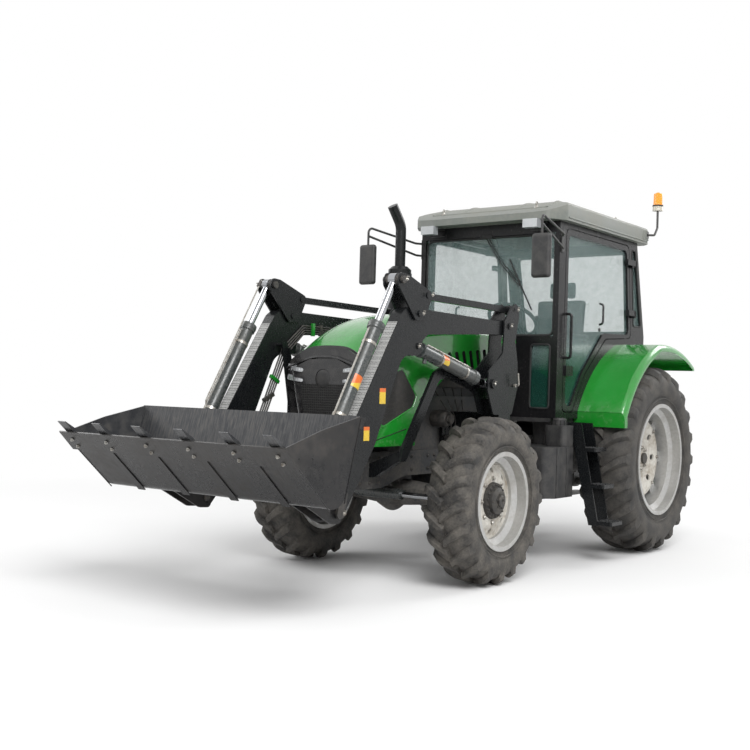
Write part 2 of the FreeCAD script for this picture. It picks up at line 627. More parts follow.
def guard_x(z):
    """Front x of the mudguard's outline at height z, as far as the open door must clear it."""
    arcs, _ = guard_arc(0)
    height = max(z, GUARD_FOOT[1] + 1)
    line = Part.LineSegment(V(-100, 0, height), V(1200, 0, height)).toShape()
    return max(v.Point.x for arc in arcs for v in arc.section(line).Vertexes)


def swing_edge(z):
    """Rearmost x of the door at height z whose swing still passes the mudguard's outer side."""
    hit = guard_x(z)
    width = GUARD_OUT - CAB_HALF + 30
    radius = math.hypot(hit + DOOR_SWING_GAP - DOOR_REAR_X, width)
    return DOOR_REAR_X + radius


def door_outline(inset):
    """Corners and radii of the door's side view, moved inward by inset."""
    head = CAB_HEAD_Z - 30 - inset
    sill = CAB_SILL_Z + 12 + inset
    middle_z, upper_z = 1440.0, GUARD_TOP[1] - 20
    points = [(DOOR_FRONT_X - inset, sill), (DOOR_FRONT_X - inset, head),
              (door_rear_line(head) + inset, head),
              (door_rear_line(upper_z + 90) + inset, upper_z + 90 + inset * 0.6),
              (swing_edge(upper_z) - 60 + inset, upper_z + 60 + inset),
              (swing_edge(middle_z) + inset, middle_z + inset * 0.3),
              (swing_edge(sill) + inset, sill)]
    return points, [50, 50, 50, 50, 120, 300, 20]


def door_panel(grow, y0, y1):
    points, radii = door_outline(-grow)
    return side_plate(points, y0, y1, radii)


def door():
    """Door frame with its window cut, upright handle, lock case and hinge straps."""
    y0, y1 = CAB_HALF - PANEL, CAB_HALF
    frame = door_panel(0, y0, y1).cut(door_panel(-42, y0 - 1, y1 + 1))
    x = DOOR_FRONT_X - 30
    handle = bent_rod([(x, y1 - 4, 1560), (x, y1 + 44, 1560), (x, y1 + 44, 1900),
                       (x, y1 - 4, 1900)], 11, 24)
    lock = box(x - 110, x + 8, y1 - 8, y1 + 14, 1420, 1500)
    straps = []
    for z in HINGE_HEIGHTS:
        edge = door_rear_line(z)
        strap = box(HINGE_X, edge + 90, HINGE_Y - 8, HINGE_Y + 8, z - 24, z + 24)
        foot = box(edge + 8, edge + 90, y1 - 2, HINGE_Y - 8, z - 24, z + 24)
        knuckle = rod((HINGE_X, HINGE_Y, z - 24), (HINGE_X, HINGE_Y, z + 24), HINGE_KNUCKLE_R)
        bore = rod((HINGE_X, HINGE_Y, z - 30), (HINGE_X, HINGE_Y, z + 30), HINGE_PIN_R + RUN)
        straps.append(joined(strap, foot, knuckle).cut(bore))
    return joined(frame, handle, lock, *straps)


def door_glass():
    y = CAB_HALF - PANEL / 2
    return door_panel(-42, y - GLASS_T / 2, y + GLASS_T / 2)


def door_hinges():
    """Hinge feet on the cab's rear post, with pins that stand in the door's knuckles."""
    pieces = []
    for z in HINGE_HEIGHTS:
        base = z - 24 - RUN
        post = door_rear_line(z) - 18
        pieces.append(rod((HINGE_X, HINGE_Y, base - 15), (HINGE_X, HINGE_Y, base),
                          HINGE_KNUCKLE_R))
        pieces.append(rod((HINGE_X, HINGE_Y, base - 15), (HINGE_X, HINGE_Y, z + 24),
                          HINGE_PIN_R))
        pieces.append(box(HINGE_X - 8, post, CAB_HALF - 2, HINGE_Y, base - 15, base))
    return pieces


def cab_floor():
    """Floor tray with the sills under the doors and the rear platform."""
    floor = box(CAB_REAR_BOTTOM_X + 60, CAB_FRONT_X + 20, -600, 600, CAB_FLOOR_Z - 30, CAB_FLOOR_Z)
    tunnel = side_plate([(-420, CAB_FLOOR_Z), (520, CAB_FLOOR_Z), (380, 1330), (-420, 1330)],
                        -330, 330, [0, 0, 60, 30])
    mounts = []
    for x, z in ((0, CAB_PAD_Z), (FRONT_MOUNT_X, FRONT_MOUNT_Z)):
        for y in (-CAB_MOUNT_Y, CAB_MOUNT_Y):
            mounts.append(rod((x, y, z), (x, y, CAB_FLOOR_Z - 30), 60, 70))
    return joined(floor, tunnel, *mounts)


def cab_shell_side():
    """One side of the cab: posts, head rail, sill and the strip along the mudguard."""
    y0, y1 = CAB_HALF - PANEL, CAB_HALF
    outline = [(CAB_FRONT_X, CAB_FLOOR_Z), (CAB_FRONT_X, CAB_HEAD_Z + 20),
               (cab_side_line(CAB_HEAD_Z + 20), CAB_HEAD_Z + 20),
               (cab_side_line(REAR_SILL_Z), REAR_SILL_Z), (CAB_REAR_BOTTOM_X, 1500),
               (CAB_REAR_BOTTOM_X, CAB_FLOOR_Z)]
    panel = side_plate(outline, y0, y1, 0)
    panel = panel.cut(guard_block(0, y0 - 1, y1 + 1))
    door_hole = door_panel(DOOR_GAP, y0 - 1, y1 + 1)
    window = side_plate([(door_rear_line(1900) - 62, 1880), (door_rear_line(2540) - 62, 2540),
                         (cab_side_line(2540) + 52, 2540), (cab_side_line(1880) + 52, 1880)],
                        y0 - 1, y1 + 1, 22)
    return panel.cut(door_hole).cut(window)


def side_glass():
    """Fixed panes behind the doors."""
    y = CAB_HALF - PANEL / 2
    pane = side_plate([(door_rear_line(1900) - 62, 1880), (door_rear_line(2540) - 62, 2540),
                       (cab_side_line(2540) + 52, 2540), (cab_side_line(1880) + 52, 1880)],
                      y - GLASS_T / 2, y + GLASS_T / 2, 22)
    return both_sides(pane)


def cab_frame():
    """Roll frame: both sides, front and rear headers, front wall and rear wall."""
    inn = CAB_HALF - PANEL
    side = cab_shell_side()
    header = box(CAB_FRONT_X - PANEL, CAB_FRONT_X, -inn, inn, CAB_HEAD_Z - 70, CAB_HEAD_Z + 20)
    dash_wall = front_plate([(-inn, CAB_FLOOR_Z), (-inn, 1720), (inn, 1720),
                             (inn, CAB_FLOOR_Z)], CAB_FRONT_X - PANEL, CAB_FRONT_X, 0)
    for sign in (-1, 1):
        pane = front_plate([(sign * 410, CAB_SILL_Z + 30), (sign * 410, 1660),
                            (sign * 580, 1660), (sign * 580, CAB_SILL_Z + 30)],
                           CAB_FRONT_X - PANEL - 1, CAB_FRONT_X + 1, 30)
        dash_wall = dash_wall.cut(pane)
    rear = side_plate([(CAB_REAR_BOTTOM_X, CAB_FLOOR_Z), (CAB_REAR_BOTTOM_X, REAR_SILL_Z),
                       (cab_side_line(CAB_HEAD_Z + 20), CAB_HEAD_Z + 20),
                       (cab_side_line(CAB_HEAD_Z + 20) + PANEL, CAB_HEAD_Z + 20),
                       (CAB_REAR_BOTTOM_X + PANEL, REAR_SILL_Z),
                       (CAB_REAR_BOTTOM_X + PANEL, CAB_FLOOR_Z)], -inn, inn, 0)
    opening = side_plate([(-700, REAR_SILL_Z + 40), (-700, CAB_HEAD_Z - 60),
                          (-200, CAB_HEAD_Z - 60), (-200, REAR_SILL_Z + 40)], -540, 540, 0)
    rear = rear.cut(opening)
    hinges = door_hinges()
    hinges += [mirrored(piece) for piece in hinges]
    return joined(side, mirrored(side), header, dash_wall, rear, bonnet_hinge(), *hinges)


def bonnet_hinge():
    """Bracket and pin ahead of the dash wall that carry the bonnet's strap."""
    cheeks = [side_plate([(CAB_FRONT_X - 1, 1700), (CAB_FRONT_X - 1, 1600),
                          (HOOD_REAR_X + 14, HINGE_Z - 18), (HOOD_REAR_X + 14, HINGE_Z + 16),
                          (HOOD_REAR_X - 20, HINGE_Z + 16)], y, y + 8, [0, 0, 10, 10, 10])
              for y in (-29, 21)]
    pin = cross_rod((HOOD_REAR_X, HINGE_Z), -32, 32, 8)
    return joined(*cheeks, pin)


def windscreen():
    """Windscreen and the two low panes beside the dash wall."""
    inn = CAB_HALF - PANEL
    x = CAB_FRONT_X - PANEL / 2
    main = box(x - GLASS_T / 2, x + GLASS_T / 2, -inn, inn, 1720, CAB_HEAD_Z - 70)
    panes = []
    for sign in (-1, 1):
        panes.append(front_plate([(sign * 410, CAB_SILL_Z + 30), (sign * 410, 1660),
                                  (sign * 580, 1660), (sign * 580, CAB_SILL_Z + 30)],
                                 x - GLASS_T / 2, x + GLASS_T / 2, 30))
    return Part.makeCompound([main] + panes)


def rear_window():
    """Raked rear pane in the rear wall's opening."""
    low, high = REAR_SILL_Z + 40, CAB_HEAD_Z - 60
    mid = PANEL / 2
    return side_plate([(cab_side_line(low) + mid - 3, low), (cab_side_line(high) + mid - 3, high),
                       (cab_side_line(high) + mid + 3, high), (cab_side_line(low) + mid + 3, low)],
                      -540, 540, 0)


def cab_roof():
    """Moulded roof: a crowned pan with overhanging eaves, raised front and rear corners."""
    half = ROOF_HALF
    plan = [(ROOF_REAR_X, -half + 60), (ROOF_REAR_X, half - 60), (ROOF_REAR_X + 60, half),
            (ROOF_FRONT_X - 170, half), (ROOF_FRONT_X - 20, half - 90), (ROOF_FRONT_X, half - 260),
            (ROOF_FRONT_X, 260 - half), (ROOF_FRONT_X - 20, 90 - half),
            (ROOF_FRONT_X - 170, -half), (ROOF_REAR_X + 60, -half)]
    block = flat_plate(plan, ROOF_EAVE_Z, ROOF_TOP_Z + 60, [30, 30, 30, 60, 60, 0, 0, 60, 60, 30])
    arch = side_plate([(ROOF_REAR_X - 60, ROOF_EAVE_Z + 150), (ROOF_REAR_X + 260, ROOF_TOP_Z - 4),
                       (400, ROOF_TOP_Z + 6), (ROOF_FRONT_X - 330, ROOF_TOP_Z - 36),
                       (ROOF_FRONT_X + 40, ROOF_EAVE_Z + 36), (ROOF_FRONT_X + 40, 2500),
                       (ROOF_REAR_X - 60, 2500)], -900, 900, [0, 400, 2600, 300, 0, 0, 0])
    roof = block.common(arch)
    crown = front_plate([(-half - 20, ROOF_EAVE_Z - 10), (-half - 20, ROOF_TOP_Z - 86),
                         (-330, ROOF_TOP_Z + 8), (330, ROOF_TOP_Z + 8),
                         (half + 20, ROOF_TOP_Z - 86), (half + 20, ROOF_EAVE_Z - 10)],
                        ROOF_REAR_X - 100, ROOF_FRONT_X + 100, [0, 90, 500, 500, 90, 0])
    roof = roof.common(crown)
    inner = CAB_HALF - 70
    under = flat_plate([(-280, -inner), (-280, inner), (900, inner), (900, -inner)],
                       ROOF_EAVE_Z - 1, ROOF_EAVE_Z + 130, 60)
    return roof.cut(under)


def cab_lights():
    """Work lamps in the eaves and the amber beacon on its bent stalk."""
    pieces = []
    for y in (-470, 470):
        pieces.append(box(ROOF_FRONT_X - 40, ROOF_FRONT_X + 26, y - 62, y + 62,
                          ROOF_EAVE_Z - 66, ROOF_EAVE_Z - RUN))
        pieces.append(box(ROOF_FRONT_X - 20, ROOF_FRONT_X - 5, y - 12, y + 12,
                          ROOF_EAVE_Z - RUN, ROOF_EAVE_Z))
    x, y = BEACON
    stalk = bent_rod([(x + 95, ROOF_HALF + 7, 2690), (x + 60, y, 2690), (x, y, 2760), (x, y, 2920)],
                     10, 20)
    foot = box(x + 74, x + 116, ROOF_HALF, ROOF_HALF + 8, 2664, 2716)
    base = rod((x, y, 2912), (x, y, 2956), 46, 42)
    lens = rod((x, y, 2956), (x, y, 3062), 40, 37)
    dome = Part.makeSphere(37, V(x, y, 3040), AXIS_Z, 0, 90)
    beacon = joined(stalk, foot, base, lens, dome)
    return joined(pieces[0], pieces[1]).Solids + joined(pieces[2], pieces[3]).Solids + [beacon]


BEACON = (-515.0, 742.0)


def seat():
    """Driver's seat: cushion, back and head piece on a suspension box."""
    cushion = box(-130, 370, -250, 250, 1480, 1590)
    cushion = cushion.makeFillet(36, cushion.Edges)
    back = side_plate([(-170, 1560), (-60, 1560), (-150, 2120), (-230, 2120)], -235, 235,
                      [20, 20, 40, 40])
    head = side_plate([(-205, 2124), (-165, 2124), (-180, 2280), (-230, 2280)], -130, 130, 16)
    base = box(-80, 300, -170, 170, 1330, 1480)
    post = box(-200, -180, -30, 30, 2100, 2150)
    return joined(cushion, back, base, head, post)


def console():
    """Instrument cowl, steering column and steering wheel."""
    cowl = side_plate([(CAB_FRONT_X - PANEL, CAB_FLOOR_Z), (CAB_FRONT_X - PANEL, 1700),
                       (960, 1760), (820, 1690), (880, 1400), (900, CAB_FLOOR_Z)], -210, 210,
                      [0, 30, 50, 50, 60, 20])
    hub_x, hub_z = 690, 1880
    column = rod((900, 0, 1600), (hub_x + 14, 0, hub_z - 20), 34)
    ring = Part.makeTorus(205, 15)
    spokes = [box(-200, 200, -16, 16, -7, 7), box(-16, 16, -200, 0, -7, 7)]
    boss = Part.makeCylinder(46, 40, V(0, 0, -24))
    wheel = joined(ring, *spokes, boss)
    wheel.rotate(V(0, 0, 0), AXIS_Y, -36)
    wheel.translate(V(hub_x, 0, hub_z))
    return joined(cowl, column, wheel)


def mirrors():
    """Mirror on a looped arm from each front post."""
    y0, x0, x, y = CAB_HALF, CAB_FRONT_X - 30, 1678.0, 781.0
    upper = bent_rod([(x0, y0 + 10, 2500), (x0 + 60, y0 + 46, 2500), (x, y, 2570), (x, y, 2420)],
                     9, 40)
    lower = bent_rod([(x0, y0 + 10, 2400), (x0 + 60, y0 + 36, 2400), (x, y, 2500)], 9, 40)
    case = box(x - 28, x + 24, y - 76, y + 76, 2110, 2430)
    case = case.makeFillet(24, case.Edges)
    bracket = box(x0 - 24, x0 + 20, y0, y0 + 12, 2370, 2530)
    return both_sides(joined(upper, lower, case, bracket))


def fuel_tank():
    """Moulded tank with a raised filler neck, hung under the left sill."""
    block = flat_plate([(1010, 330), (1400, 330), (1400, 690), (1330, 760), (1010, 760)],
                       500, 880, [30, 30, 60, 60, 40])
    neck = flat_plate([(1010, 575), (1180, 575), (1180, 755), (1010, 755)], 870, 1040, 40)
    cap = rod((1095, 665, 1040), (1095, 665, 1078), 52)
    strap = [box(x, x + 40, BLOCK_HALF, 334, 640, 680) for x in (1060, 1200)]
    return joined(block, neck, cap, *strap)


def battery_box():
    """Battery and tool box under the right sill."""
    case = box(1010, 1400, -760, -340, 520, 860)
    lid = box(1000, 1410, -770, -330, 860, 890)
    straps = [box(x, x + 40, -340, -BLOCK_HALF, 640, 680) for x in (1060, 1200)]
    return joined(case, lid, *straps)


def steps():
    """Ladder of three treads hung from the floor on each side."""
    treads = []
    for height, inner in ((875, 775), (600, 848), (325, 920)):
        treads.append(flat_plate([(STEP_X, inner), (STEP_X + 200, inner),
                                  (STEP_X + 200, inner + 150), (STEP_X, inner + 150)],
                                 height - 28, height, 14))
    top = CAB_FLOOR_Z - 30
    rails = []
    for x in (STEP_X, STEP_X + 188):
        rails.append(front_plate([(580, top), (580, top - 40), (740, 900), (880, 290), (960, 290),
                                  (850, 820), (800, top)], x, x + 12, 0))
    hanger = box(STEP_X, STEP_X + 200, 560, 700, top - 30, top)
    return both_sides(joined(hanger, *treads, *rails))


# ---------------------------------------------------------------- loader

def mast_plate(y0):
    outline = [(1648, 1900), (1700, 1924), (1750, 1900), (1850, 1790), (1862, 1560),
               (2052, 1420), (2060, 1290), (1975, 1120), (1717, 1120), (1636, 1330),
               (1650, 1500), (1690, 1650), (1644, 1830)]
    return side_plate(outline, y0, y0 + MAST_T, 26)


def loader_frame():
    """Masts on a cross beam each side of the gearbox, with braces down to the front rails."""
    inner_y = LOADER_Y - ARM_W / 2 - 10 - MAST_T
    outer_y = LOADER_Y + ARM_W / 2 + 10
    spacer = box(1730, 1900, inner_y + MAST_T, outer_y, 1130, 1230)
    web = box(1650, 1668, inner_y + MAST_T, outer_y, 1340, 1480)
    top_pin = cross_rod(MAST_TOP, inner_y, outer_y + MAST_T, PIN_R)
    main_pin = cross_rod(PIVOT, inner_y - 6, outer_y + MAST_T + 6, BIG_PIN_R)
    eye = CYLINDER_EYE_W / 2 + 2
    stubs = [cross_rod(LIFT_FOOT, LOADER_Y + eye, outer_y + MAST_T + 14, 34),
             cross_rod(LIFT_FOOT, inner_y - 14, LOADER_Y - eye, 34)]
    beam = box(1740, 1900, BLOCK_HALF, outer_y + MAST_T, BEAM_LOW_Z, 1130)
    flange = box(1640, 2040, BLOCK_HALF, BLOCK_HALF + 25, 700, 1130)
    brace = brace_bar()
    half = joined(mast_plate(inner_y), mast_plate(outer_y), spacer, web, top_pin, main_pin,
                  *stubs, beam, flange, brace)
    return both_sides(half)


def brace_bar():
    """Bent flat bar from the mast forward over the axle and down to the front rail."""
    y0 = LOADER_Y - ARM_W / 2 - 10 - MAST_T - 24
    back, front = BRACE_FOOT_X, BRACE_FOOT_X + BRACE_FOOT_W
    upper = side_plate([(1880, 1200), (2060, 1290), (2380, 1372), (2480, 1350), (back - 105, 960),
                        (back, 815), (front, 815), (front - 26, 905), (2540, 1400), (2430, 1450),
                        (2040, 1380), (1880, 1290)],
                       y0, y0 + 24, [0, 60, 60, 60, 60, 0, 0, 60, 80, 80, 60, 0])
    drop = front_plate([(y0 + 1, 880), (y0 + 1, 815), (RAIL_HALF + 40, 700), (RAIL_HALF, 700),
                        (RAIL_HALF, 790), (RAIL_HALF + 30, 800)], back, front, 0)
    return joined(upper, drop)


def loader_arms():
    """Welded boom: two cranked box arms joined by a cross tube."""
    y0, y1 = LOADER_Y - ARM_W / 2, LOADER_Y + ARM_W / 2
    outline = [(1708, 1692), (1714, 1812), (1907, 1786), (2880, 1800), (3030, 1800),
               (3088, 1762), (3530, 1100), (3754, 590), (3744, 505), (3650, 505), (3600, 560),
               (3330, 945), (3060, 1512), (2960, 1496), (2862, 1510), (2850, 1600), (2790, 1640),
               (1917, 1690)]
    arm = side_plate(outline, y0, y1, [50, 50, 200, 300, 60, 60, 0, 60, 60, 60, 60, 0, 120, 30,
                                       30, 30, 60, 120])
    arm = arm.cut(cross_rod(PIVOT, y0 - 1, y1 + 1, BIG_PIN_R + RUN))
    arm = arm.cut(cross_rod(BUCKET_PIVOT, y0 - 1, y1 + 1, BIG_PIN_R + RUN))
    barrel_room = cross_rod(LIFT_EYE, LOADER_Y - 32, LOADER_Y + 32, 62)
    rear_room = box(LIFT_EYE[0] - 80, LIFT_EYE[0], LOADER_Y - 32, LOADER_Y + 32,
                    LIFT_EYE[1] - 56, LIFT_EYE[1] + 50)
    arm = arm.cut(barrel_room).cut(rear_room)
    knee_pin = cross_rod(KNEE, y0 - SIDE - LEVER_T - 8, y1 + SIDE + LEVER_T + 8, PIN_R)
    knee_boss = [cross_rod(KNEE, y0 - SIDE + RUN, y0 + 1, 38),
                 cross_rod(KNEE, y1 - 1, y1 + SIDE - RUN, 38)]
    lift_pin = cross_rod(LIFT_EYE, y0, y1 + 8, PIN_R)
    half = joined(arm, knee_pin, *knee_boss, lift_pin)
    cross = cross_rod(CROSS_TUBE, -y0, y0, CROSS_TUBE_R)
    return joined(half, mirrored(half), cross)


def pin_hole(point, radius):
    return cross_rod(point, LOADER_Y - 200, LOADER_Y + 200, radius + RUN)


def knee_levers():
    """Pairs of triangular plates that carry the link bar and the tilt cylinder."""
    y0 = LOADER_Y - ARM_W / 2 - SIDE - LEVER_T
    y1 = LOADER_Y + ARM_W / 2 + SIDE
    outline = [(KNEE[0] - 62, KNEE[1] - 34), (KNEE[0] + 40, KNEE[1] - 46),
               (LEVER_TOP[0] + 46, LEVER_TOP[1] - 30), (LEVER_TOP[0] + 20, LEVER_TOP[1] + 46),
               (LEVER_TOP[0] - 60, LEVER_TOP[1] + 40), (LEVER_REAR[0] - 50, LEVER_REAR[1] + 20),
               (LEVER_REAR[0] - 30, LEVER_REAR[1] - 40)]
    plates = [side_plate(outline, y, y + LEVER_T, [30, 40, 30, 30, 30, 30, 30])
              for y in (y0, y1)]
    plates = [p.cut(pin_hole(KNEE, PIN_R)).cut(pin_hole(LEVER_TOP, BIG_PIN_R)) for p in plates]
    rear_pin = cross_rod(LEVER_REAR, y0 - 6, y1 + LEVER_T + 6, PIN_R)
    bridge = box(KNEE[0] + 20, KNEE[0] + 50, y0 + LEVER_T, y1, KNEE[1] + 150, KNEE[1] + 180)
    return both_sides(joined(*plates, rear_pin, bridge))


def lever_pins():
    """Thick pins across the tops of the knee levers."""
    y0 = LOADER_Y - ARM_W / 2 - SIDE - LEVER_T - 16
    y1 = LOADER_Y + ARM_W / 2 + SIDE + LEVER_T + 16
    pin = cross_rod(LEVER_TOP, y0, y1, BIG_PIN_R)
    collar = cross_rod(LEVER_TOP, LOADER_Y - ARM_W / 2 - SIDE + RUN, LOADER_Y - 26 - RUN, 34)
    other = cross_rod(LEVER_TOP, LOADER_Y + 26 + RUN, LOADER_Y + ARM_W / 2 + SIDE - RUN, 34)
    return both_sides(joined(pin, collar, other))


def link_bars():
    """Levelling links from the masts to the knee levers."""
    bars = []
    bar = box(MAST_TOP[0], LEVER_REAR[0], LOADER_Y - 15, LOADER_Y + 15, -22, 22)
    angle = math.degrees(math.atan2(LEVER_REAR[1] - MAST_TOP[1], LEVER_REAR[0] - MAST_TOP[0]))
    bar.rotate(V(MAST_TOP[0], 0, 0), AXIS_Y, -angle)
    bar.translate(V(0, 0, MAST_TOP[1]))
    bars.append(bar)
    for eye in (MAST_TOP, LEVER_REAR):
        bars.append(cross_rod(eye, LOADER_Y - 20, LOADER_Y + 20, 35))
    link = joined(*bars)
    for eye in (MAST_TOP, LEVER_REAR):
        link = link.cut(pin_hole(eye, PIN_R))
    return both_sides(link)


def cylinder_barrel(eye, angle, radius, rod_radius, length, pin_radius, port_side):
    """Hydraulic barrel from its eye to its gland, bored for the rod."""
    def at(distance, offset=0.0):
        x, z = along(eye, angle, distance, offset)
        return (x, LOADER_Y, z)

    half = CYLINDER_EYE_W / 2
    gland = length - 46
    barrel = rod(at(92), at(gland), radius).fuse(rod(at(gland), at(length), radius + 7))
    neck = rod(at(30), at(94), rod_radius + 5)
    eye_ring = cross_rod(eye, LOADER_Y - half, LOADER_Y + half, radius - 6)
    boss = rod(at(155, port_side * (rod_radius + 8)), at(155, port_side * (radius + 26)), 14)
    barrel = joined(barrel, neck, eye_ring, boss)
    barrel = barrel.cut(rod(at(102), at(length + 2), rod_radius + RUN))
    if pin_radius > 0:
        barrel = barrel.cut(pin_hole(eye, pin_radius))
    return barrel


def cylinder_rod(eye, angle, radius, length, pin_radius):
    end = along(eye, angle, length)
    start = along(eye, angle, 30)
    bar = rod((start[0], LOADER_Y, start[1]), (end[0], LOADER_Y, end[1]), radius)
    half = CYLINDER_EYE_W / 2
    ring = cross_rod(eye, LOADER_Y - half, LOADER_Y + half, 40)
    piece = joined(bar, ring)
    if pin_radius > 0:
        piece = piece.cut(pin_hole(eye, pin_radius))
    return piece


def lift_barrels():
    return both_sides(cylinder_barrel(LIFT_EYE, 180 + LIFT_ANGLE, LIFT_BARREL_R, LIFT_ROD_R,
                                      LIFT_BARREL_L, PIN_R, 1))


def lift_rods():
    return both_sides(cylinder_rod(LIFT_FOOT, LIFT_ANGLE, LIFT_ROD_R, LIFT_ROD_L, 0))


def tilt_rods():
    return both_sides(cylinder_rod(LEVER_TOP, TILT_ANGLE, TILT_ROD_R, TILT_ROD_L, BIG_PIN_R))


def tilt_barrels():
    length = TILT_LENGTH - TILT_ROD_SHOWN
    barrel = cylinder_barrel(BUCKET_EYE, 180 + TILT_ANGLE, TILT_BARREL_R, TILT_ROD_R, length, 0,
                             -1)
    spacer = cross_rod(BUCKET_EYE, LOADER_Y - ARM_W / 2 - 2, LOADER_Y + ARM_W / 2 + 2, 30)
    return both_sides(joined(barrel, spacer))


def bucket_pins():
    """Pins that hang the bucket on the arms, each with a keeper flag welded on its outer end."""
    y0 = LOADER_Y - ARM_W / 2 - SIDE - LEVER_T - 8
    y1 = LOADER_Y + ARM_W / 2 + SIDE + LEVER_T + 8
    x, z = BUCKET_PIVOT
    flag = side_plate([(x - FLAG_W / 2, z - FLAG_W / 2), (x + FLAG_W / 2, z - FLAG_W / 2),
                       (x + FLAG_W / 2 - 30, z + FLAG_L), (x - FLAG_W / 2 - 30, z + FLAG_L)],
                      y1 - 1, y1 + FLAG_T, [30, 30, 16, 16])
    return both_sides(joined(cross_rod(BUCKET_PIVOT, y0, y1, BIG_PIN_R), flag))


def loader_pipes():
    """Steel pipes clipped along the inner face of the right arm."""
    y = -(LOADER_Y - ARM_W / 2 - PIPE_R - 2)
    pipes = []
    for i in range(PIPE_COUNT):
        drop = i * PIPE_PITCH
        z = 1706 - drop * 0.72
        pipes.append(bent_rod([(2240, y, z), (2800 - drop * 0.3, y, z),
                               (3010 - drop * 0.8, y, 1540 - drop * 0.5),
                               (3330 - drop * 0.95, y, 860), (3420 - drop * 0.95, y, 690)],
                              PIPE_R, 30))
    face = -(LOADER_Y - ARM_W / 2)
    upper = box(2590, 2622, face, y + PIPE_R + 4, 1642, 1722)
    lower = box(-56, 56, face, y + PIPE_R + 4, -14, 14)
    lower.rotate(V(0, 0, 0), AXIS_Y, 25)
    lower.translate(V(3138, 0, 1200))
    return joined(pipes[0], *pipes[1:], upper, lower)


def safety_prop():
    """Lock bar for the lift cylinder, hanging from a stub on the right arm."""
    top, low = (3050.0, 1560.0), (2944.0, 1075.0)
    y0 = -(LOADER_Y - ARM_W / 2 - PROP_GAP)
    bar = side_plate([(top[0] - 30, top[1] + 24), (top[0] + 26, top[1] + 24),
                      (low[0] + 26, low[1]), (low[0] - 22, low[1])], y0, y0 + 12, 14)
    back = side_plate([(top[0] - 30, top[1] - 20), (top[0] - 18, top[1] - 20),
                       (low[0] - 10, low[1]), (low[0] - 22, low[1])], y0 + 12, y0 + 40, 0)
    stub = cross_rod(top, y0, -(LOADER_Y - ARM_W / 2), 14)
    return joined(bar, back, stub)


# ---------------------------------------------------------------- bucket

def unit(a, b):
    length = math.hypot(b[0] - a[0], b[1] - a[1])
    return ((b[0] - a[0]) / length, (b[1] - a[1]) / length)


def bucket_inside_corner(t):
    """Heel corner moved inward by t from both walls."""
    back, floor = unit(BUCKET_HEEL, BUCKET_BACK), unit(BUCKET_HEEL, BUCKET_LIP)
    cross = abs(back[0] * floor[1] - back[1] * floor[0])
    reach = t / cross
    return (BUCKET_HEEL[0] + (back[0] + floor[0]) * reach,
            BUCKET_HEEL[1] + (back[1] + floor[1]) * reach)


def bucket_normals():
    """Inward unit normals of the back wall and of the floor."""
    back, floor = unit(BUCKET_HEEL, BUCKET_BACK), unit(BUCKET_HEEL, BUCKET_LIP)
    return (back[1], -back[0]), (-floor[1], floor[0])


def bucket():
    """Welded bucket: rolled heel, side plates, stiffened back edge, wear strips and hangers."""
    t = BUCKET_T
    n_back, n_floor = bucket_normals()
    back_in = (BUCKET_BACK[0] + n_back[0] * t, BUCKET_BACK[1] + n_back[1] * t)
    lip_in = (BUCKET_LIP[0] + n_floor[0] * t, BUCKET_LIP[1] + n_floor[1] * t)
    skin = side_plate([BUCKET_BACK, BUCKET_HEEL, BUCKET_LIP, lip_in, bucket_inside_corner(t),
                       back_in], -BUCKET_HALF, BUCKET_HALF, [0, HEEL_R, 0, 0, HEEL_R - t, 0])
    front = (BUCKET_BACK[0] + 330, BUCKET_BACK[1] - 70)
    cheek = side_plate([BUCKET_BACK, BUCKET_HEEL, BUCKET_LIP, front],
                       BUCKET_HALF - BUCKET_SIDE_T, BUCKET_HALF, [0, HEEL_R, 0, 500])
    floor = unit(BUCKET_HEEL, BUCKET_LIP)
    edge_back = (BUCKET_LIP[0] - floor[0] * EDGE_DEPTH, BUCKET_LIP[1] - floor[1] * EDGE_DEPTH)
    edge_tip = (BUCKET_LIP[0] + floor[0] * 12, BUCKET_LIP[1] + floor[1] * 12)
    under = (-n_floor[0] * EDGE_T, -n_floor[1] * EDGE_T)
    edge = side_plate([edge_back, edge_tip, shifted(edge_tip, (under[0] * 0.5, under[1] * 0.5)),
                       shifted(edge_back, under)], -EDGE_HALF, EDGE_HALF, 0)
    pieces = [skin, cheek, mirrored(cheek), edge, back_flange(n_back)]
    pieces += wear_strips(floor, n_floor)
    for y in hanger_places():
        pieces.append(hanger(y))
    whole = joined(*pieces)
    return whole


def back_flange(n_back):
    """Folded channel along the back edge."""
    down = unit(BUCKET_BACK, BUCKET_HEEL)
    p = BUCKET_BACK
    out = (-n_back[0] * 46, -n_back[1] * 46)
    low = (p[0] + down[0] * 70, p[1] + down[1] * 70)
    return side_plate([p, shifted(p, out), shifted(low, (out[0] * 0.5, out[1] * 0.5)), low],
                      -BUCKET_HALF, BUCKET_HALF, 0)


def wear_strips(floor, n_floor):
    """Flat strips under the floor, from heel to cutting edge."""
    strips = []
    t = 6.0
    start = (BUCKET_HEEL[0] + floor[0] * 130, BUCKET_HEEL[1] + floor[1] * 130)
    end = (BUCKET_LIP[0] - floor[0] * EDGE_DEPTH, BUCKET_LIP[1] - floor[1] * EDGE_DEPTH)
    under = (-n_floor[0] * t, -n_floor[1] * t)
    for y in (-585, -195, 195, 585):
        strips.append(side_plate([start, end, shifted(end, under), shifted(start, under)],
                                 y - 30, y + 30, 0))
    return strips


def hanger_places():
    """y of each hanger plate: one outside each face of both arms."""
    inner = LOADER_Y - ARM_W / 2 - SIDE - LEVER_T
    outer = LOADER_Y + ARM_W / 2 + SIDE
    return [inner, outer, -inner - LEVER_T, -outer - LEVER_T]


